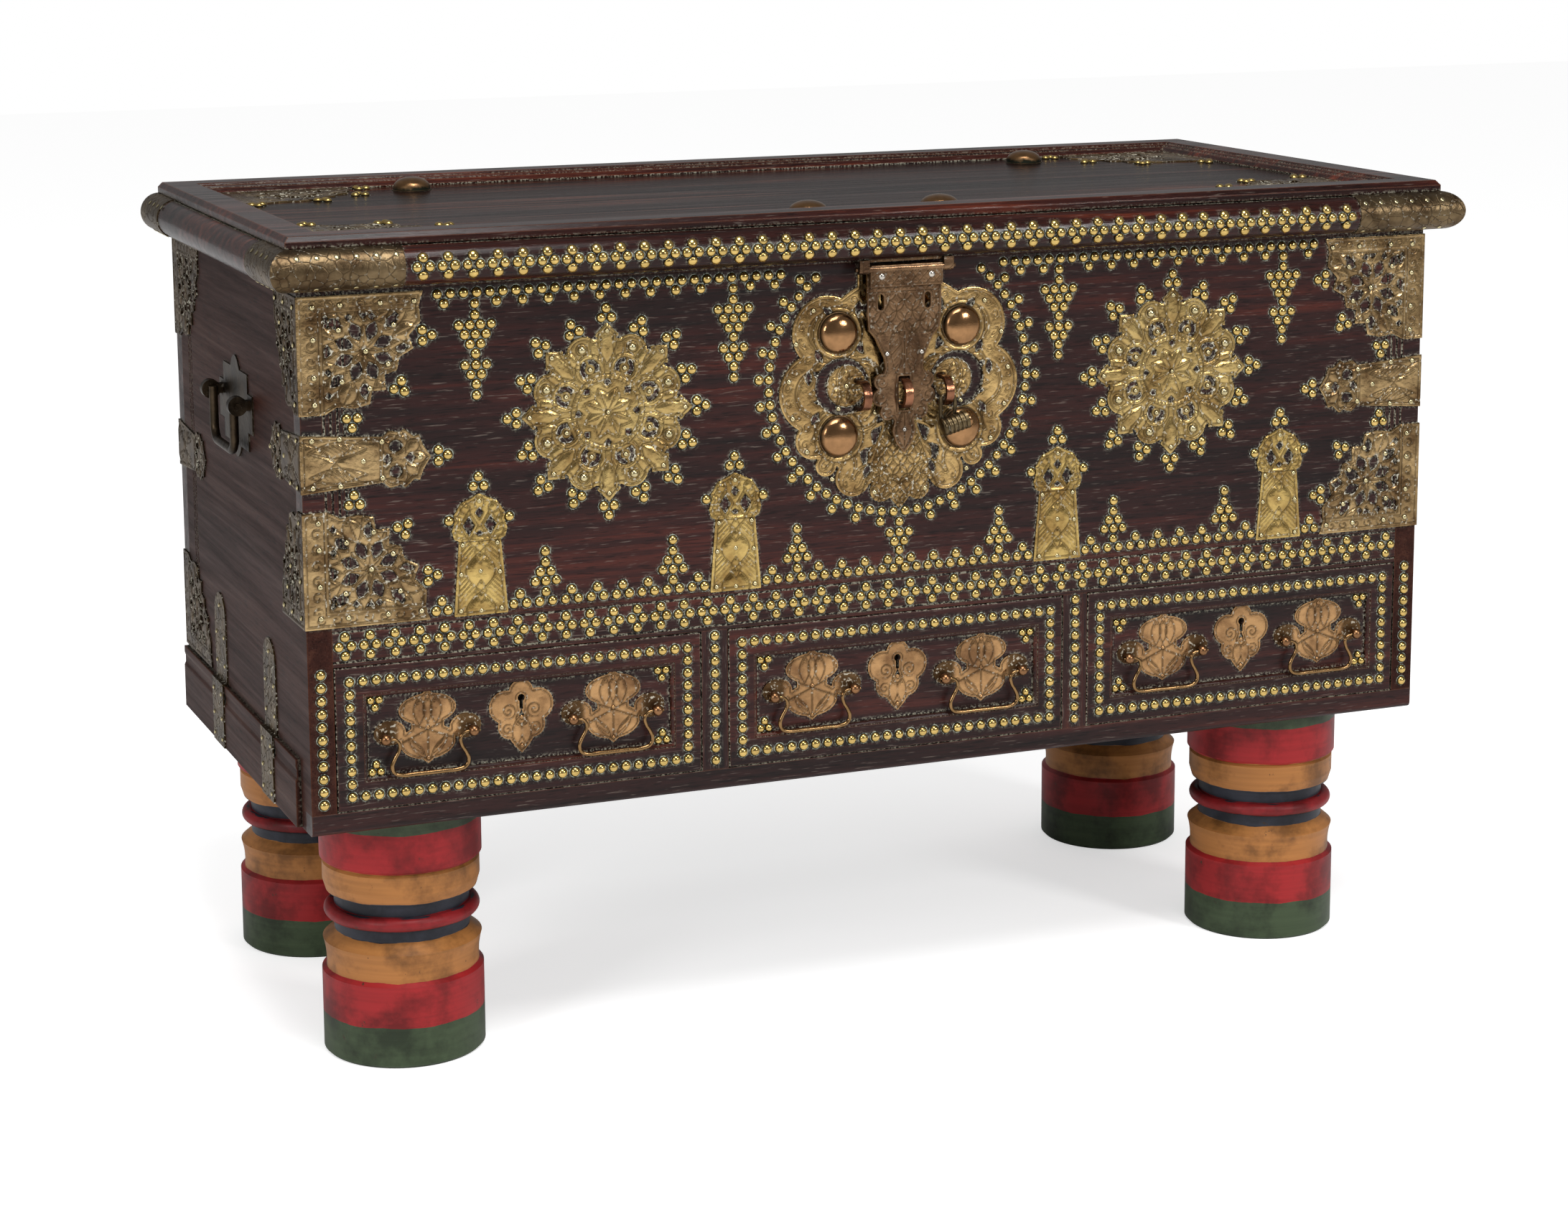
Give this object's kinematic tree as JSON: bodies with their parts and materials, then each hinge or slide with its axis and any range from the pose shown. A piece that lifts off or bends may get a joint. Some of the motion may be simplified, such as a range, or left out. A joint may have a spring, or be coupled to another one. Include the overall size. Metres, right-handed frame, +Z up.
{
  "type": "dowry chest",
  "caption": "Wide wooden dowry chest on turned painted feet, with a hinged lid, hasp, carrying handles, small drawers under the main compartment, and brass plates and domed studs.",
  "frame": {"origin": "centre of the overall box on the floor, under the feet", "axes": "+Z up, the front with the hasp and drawers faces -Y, +X to the right of someone facing the front"},
  "size_m": [1.262, 0.5792, 0.823],
  "materials": {
    "rosewood": "waxed, worn",
    "painted_wood": "old paint in bands",
    "stud_brass": "polished, with dark wear round the edges",
    "plate_brass": "engraved, aged",
    "old_brass": "aged",
    "copper_brass": "worn satin",
    "dark_iron": "dark, pitted"
  },
  "bodies": {
    "carcase": {"back_board": "rosewood", "back_hinge_straps": "dark_iron", "base_mouldings": "rosewood", "base_straps": "plate_brass", "bottom_board": "rosewood", "chest_floor": "rosewood", "drawer_dividers": "rosewood", "front_board": "rosewood", "front_corner_plates": "plate_brass", "front_corner_straps": "plate_brass", "front_left_foot": "painted_wood", "front_rails": "rosewood", "front_right_foot": "painted_wood", "front_studs": "stud_brass", "left_handle_plate": "dark_iron", "left_side_board": "rosewood", "lock_bosses": "copper_brass", "lock_plate": "plate_brass", "minaret_plates": "plate_brass", "rear_corner_plates": "plate_brass", "rear_left_foot": "painted_wood", "rear_right_foot": "painted_wood", "right_handle_plate": "dark_iron", "right_side_board": "rosewood", "rosettes": "plate_brass", "staples": "old_brass"},
    "lid": {"hasp_leaf": "old_brass", "lid_board": "rosewood", "lid_bosses": "copper_brass", "lid_edge_mouldings": "rosewood", "lid_edge_sleeves": "plate_brass", "lid_hinge_straps": "dark_iron", "lid_rim": "rosewood", "lid_studs": "stud_brass", "lid_top_frame": "rosewood", "lid_top_plates": "plate_brass"},
    "hanging_lock": {"hanging_lock": "old_brass"},
    "hasp": {"hasp": "old_brass"},
    "left_drawer": {"left_drawer_box": "rosewood", "left_drawer_front": "rosewood", "left_drawer_plates": "copper_brass", "left_drawer_studs": "stud_brass"},
    "left_drawer_left_bail": {"left_drawer_left_bail": "copper_brass"},
    "left_drawer_right_bail": {"left_drawer_right_bail": "copper_brass"},
    "left_side_bail": {"left_side_bail": "dark_iron"},
    "middle_drawer": {"middle_drawer_box": "rosewood", "middle_drawer_front": "rosewood", "middle_drawer_plates": "copper_brass", "middle_drawer_studs": "stud_brass"},
    "middle_drawer_left_bail": {"middle_drawer_left_bail": "copper_brass"},
    "middle_drawer_right_bail": {"middle_drawer_right_bail": "copper_brass"},
    "right_drawer": {"right_drawer_box": "rosewood", "right_drawer_front": "rosewood", "right_drawer_plates": "copper_brass", "right_drawer_studs": "stud_brass"},
    "right_drawer_left_bail": {"right_drawer_left_bail": "copper_brass"},
    "right_drawer_right_bail": {"right_drawer_right_bail": "copper_brass"},
    "right_side_bail": {"right_side_bail": "dark_iron"}
  },
  "joints": [
    {"name": "lid_hinge", "type": "hinge", "parent": "carcase", "child": "lid", "pos_m": [0, 0.28265, 0.76696], "axis": [-1, 0, 0], "range_deg": [0, 100]},
    {"name": "hasp_hinge", "type": "hinge", "parent": "lid", "child": "hasp", "pos_m": [0, -0.26935, 0.76096], "axis": [-1, 0, 0], "range_deg": [0, 120]},
    {"name": "lock_swing", "type": "hinge", "parent": "carcase", "child": "hanging_lock", "pos_m": [0.044, -0.27385, 0.63296], "axis": [-1, 0, 0], "range_deg": [0, 70]},
    {"name": "left_handle_swing", "type": "hinge", "parent": "carcase", "child": "left_side_bail", "pos_m": [-0.61349, 0.00065, 0.63396], "axis": [0, 1, 0], "range_deg": [0, 90]},
    {"name": "right_handle_swing", "type": "hinge", "parent": "carcase", "child": "right_side_bail", "pos_m": [0.61349, 0.00065, 0.63396], "axis": [0, -1, 0], "range_deg": [0, 90]},
    {"name": "left_drawer_slide", "type": "slide", "parent": "carcase", "child": "left_drawer", "axis": [0, -1, 0], "range_m": [0, 0.36]},
    {"name": "left_drawer_left_bail_swing", "type": "hinge", "parent": "left_drawer", "child": "left_drawer_left_bail", "pos_m": [-0.48549, -0.25915, 0.34215], "axis": [-1, 0, 0], "range_deg": [0, 95]},
    {"name": "left_drawer_right_bail_swing", "type": "hinge", "parent": "left_drawer", "child": "left_drawer_right_bail", "pos_m": [-0.30049, -0.25915, 0.34215], "axis": [-1, 0, 0], "range_deg": [0, 95]},
    {"name": "middle_drawer_slide", "type": "slide", "parent": "carcase", "child": "middle_drawer", "axis": [0, -1, 0], "range_m": [0, 0.36]},
    {"name": "middle_drawer_left_bail_swing", "type": "hinge", "parent": "middle_drawer", "child": "middle_drawer_left_bail", "pos_m": [-0.0925, -0.25915, 0.34215], "axis": [-1, 0, 0], "range_deg": [0, 95]},
    {"name": "middle_drawer_right_bail_swing", "type": "hinge", "parent": "middle_drawer", "child": "middle_drawer_right_bail", "pos_m": [0.0925, -0.25915, 0.34215], "axis": [-1, 0, 0], "range_deg": [0, 95]},
    {"name": "right_drawer_slide", "type": "slide", "parent": "carcase", "child": "right_drawer", "axis": [0, -1, 0], "range_m": [0, 0.36]},
    {"name": "right_drawer_left_bail_swing", "type": "hinge", "parent": "right_drawer", "child": "right_drawer_left_bail", "pos_m": [0.30049, -0.25915, 0.34215], "axis": [-1, 0, 0], "range_deg": [0, 95]},
    {"name": "right_drawer_right_bail_swing", "type": "hinge", "parent": "right_drawer", "child": "right_drawer_right_bail", "pos_m": [0.48549, -0.25915, 0.34215], "axis": [-1, 0, 0], "range_deg": [0, 95]}
  ]
}
